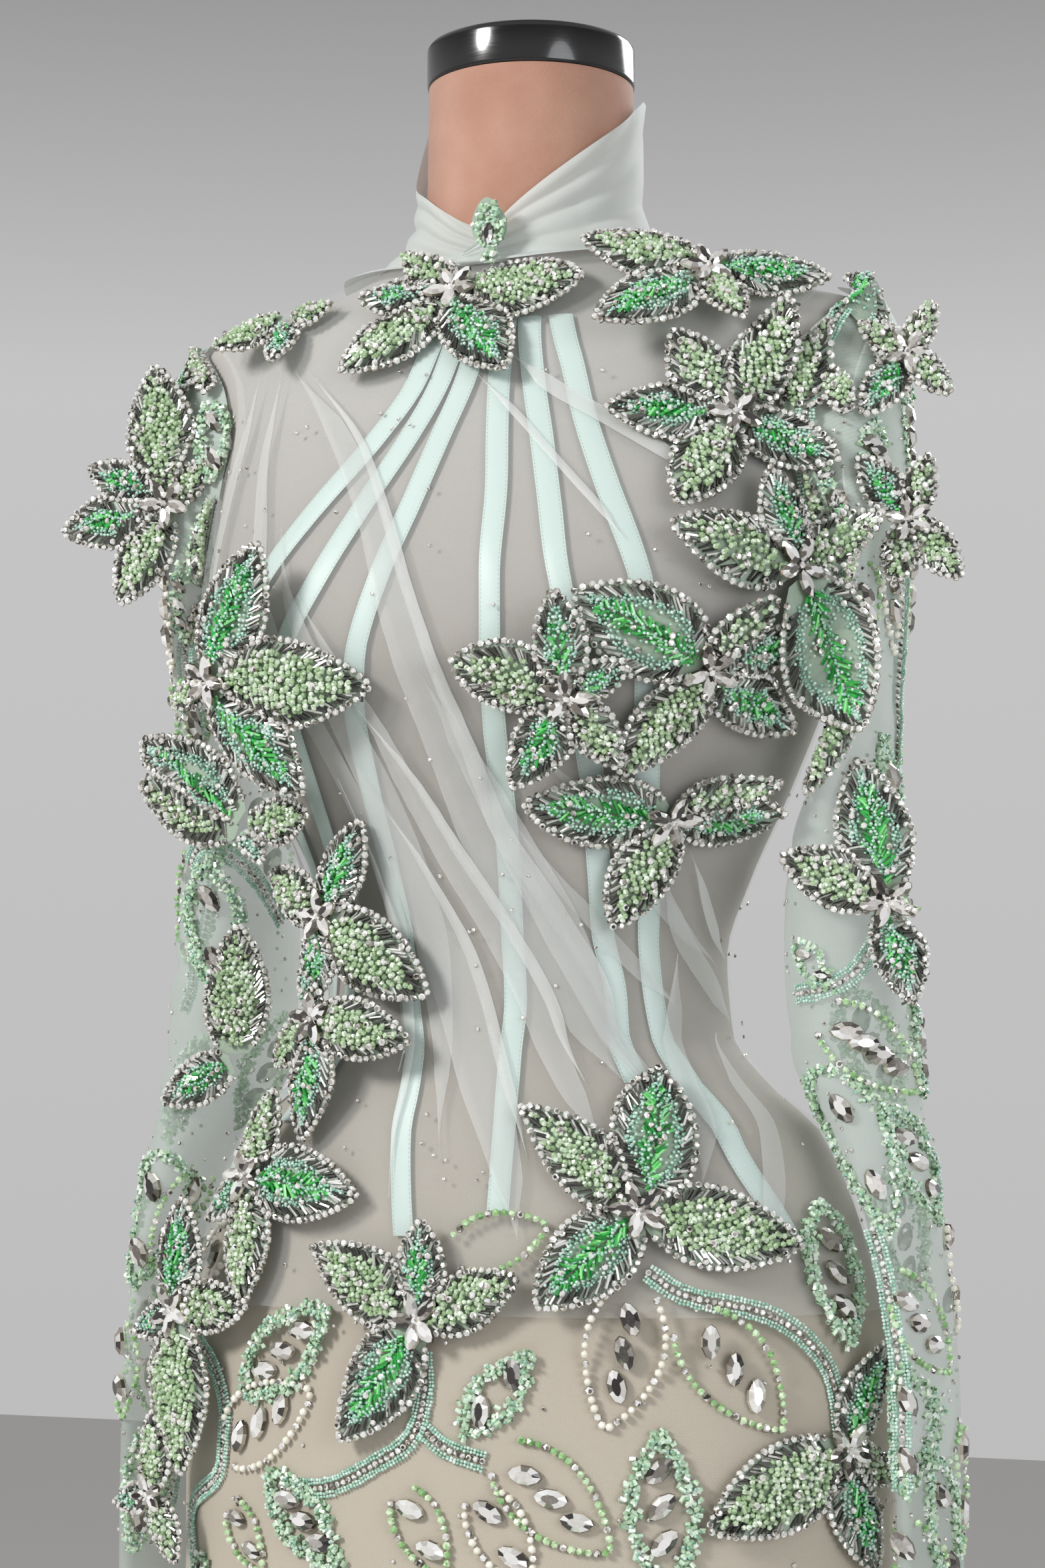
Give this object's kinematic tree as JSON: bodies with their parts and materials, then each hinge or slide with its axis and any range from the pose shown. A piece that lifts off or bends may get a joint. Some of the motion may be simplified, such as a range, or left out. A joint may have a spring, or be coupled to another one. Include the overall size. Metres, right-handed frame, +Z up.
{
  "type": "column evening dress on dress form",
  "caption": "Sheer column evening dress with wrapped high collar, long empty sleeves, draped tulle bodice and leaf-flower beadwork, on a limbless dress form.",
  "frame": {"origin": "on the floor, under the middle of the stand's base", "axes": "+Z up, the front of the dress faces -Y, the form's left side is +X"},
  "size_m": [0.4803, 0.3458, 1.578],
  "materials": {
    "beige_net": "fine sheer net",
    "mint_tulle": "soft sheer tulle",
    "mint_satin": "satin tape, stitched along both edges",
    "green_beadwork": "glass beads and stones sewn close on stiff net",
    "form_jersey": "matt jersey pulled over a hard shell",
    "black_metal": "gloss black enamel"
  },
  "bodies": {
    "root": {"dress_front": "beige_net", "dress_back_left": "beige_net", "dress_back_right": "beige_net", "back_closure": "beige_net", "draped_tulle": "mint_tulle", "collar_left": "mint_tulle", "collar_right": "mint_tulle", "sleeve_left": "mint_tulle", "sleeve_right": "mint_tulle", "tape_left_bust": "mint_satin", "tape_left_centre": "mint_satin", "tape_left_side": "mint_satin", "tape_right_bust": "mint_satin", "tape_right_centre": "mint_satin", "tape_right_side": "mint_satin", "flower_collar_leaf": "green_beadwork", "flower_front_hip": "green_beadwork", "flower_left_armhole": "green_beadwork", "flower_left_bust_inner": "green_beadwork", "flower_left_bust_outer": "green_beadwork", "flower_left_chest": "green_beadwork", "flower_left_front_hip": "green_beadwork", "flower_left_low_hip": "green_beadwork", "flower_left_ribs": "green_beadwork", "flower_left_shoulder_top": "green_beadwork", "flower_left_sleeve_cap": "green_beadwork", "flower_left_sleeve_elbow": "green_beadwork", "flower_left_sleeve_head": "green_beadwork", "flower_neck": "green_beadwork", "flower_right_bust": "green_beadwork", "flower_right_elbow": "green_beadwork", "flower_right_hip": "green_beadwork", "flower_right_ribs": "green_beadwork", "flower_right_shoulder_top": "green_beadwork", "flower_right_sleeve_cuff": "green_beadwork", "flower_right_sleeve_elbow": "green_beadwork", "flower_right_sleeve_head": "green_beadwork", "flower_right_sleeve_low": "green_beadwork", "flower_right_waist": "green_beadwork", "form_torso": "form_jersey", "form_cap": "black_metal", "form_pole": "black_metal", "stand_base": "black_metal"}
  },
  "joints": []
}
